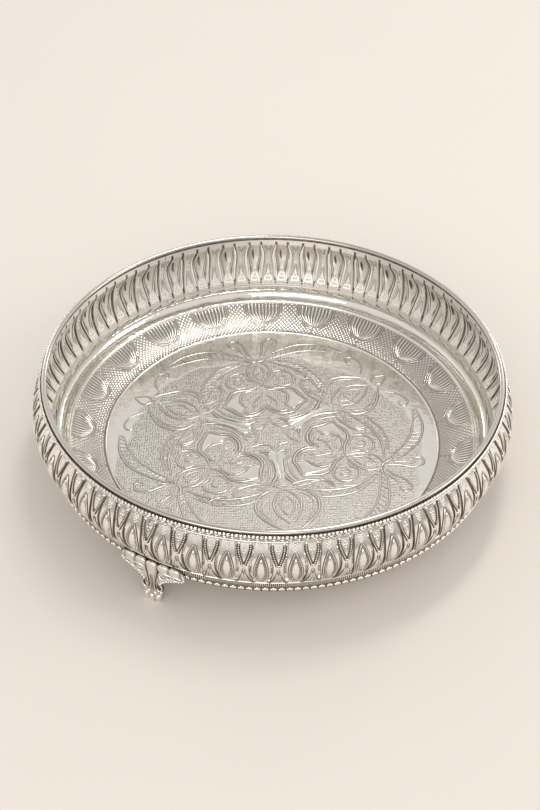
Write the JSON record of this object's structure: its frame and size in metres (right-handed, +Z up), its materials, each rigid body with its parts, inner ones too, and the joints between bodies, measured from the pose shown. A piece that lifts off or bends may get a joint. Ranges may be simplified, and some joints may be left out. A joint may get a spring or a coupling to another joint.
{
  "type": "footed tray",
  "caption": "Round silver-coloured serving tray with an engraved pan, a pierced barrel-shaped gallery, a polished rim and small cast feet.",
  "frame": {"origin": "centre of the footprint on the surface that the soles of the feet stand on", "axes": "+Z up along the tray's axis, -Y towards the side the picture was taken from, +X to the right of that view"},
  "size_m": [0.2998, 0.2998, 0.0718],
  "materials": {
    "pan_silver": "satin",
    "polished_silver": "polished",
    "cast_silver": "satin",
    "screw_steel": "satin"
  },
  "bodies": {
    "root": {"tray_pan": "pan_silver", "rim_ring": "polished_silver", "gallery_front": "cast_silver", "gallery_back_right": "cast_silver", "gallery_back_left": "cast_silver", "foot_front_left": "cast_silver", "foot_right": "cast_silver", "foot_back_left": "cast_silver", "foot_screw_front_left_a": "screw_steel", "foot_screw_front_left_b": "screw_steel", "foot_screw_right_a": "screw_steel", "foot_screw_right_b": "screw_steel", "foot_screw_back_left_a": "screw_steel", "foot_screw_back_left_b": "screw_steel"}
  },
  "joints": []
}
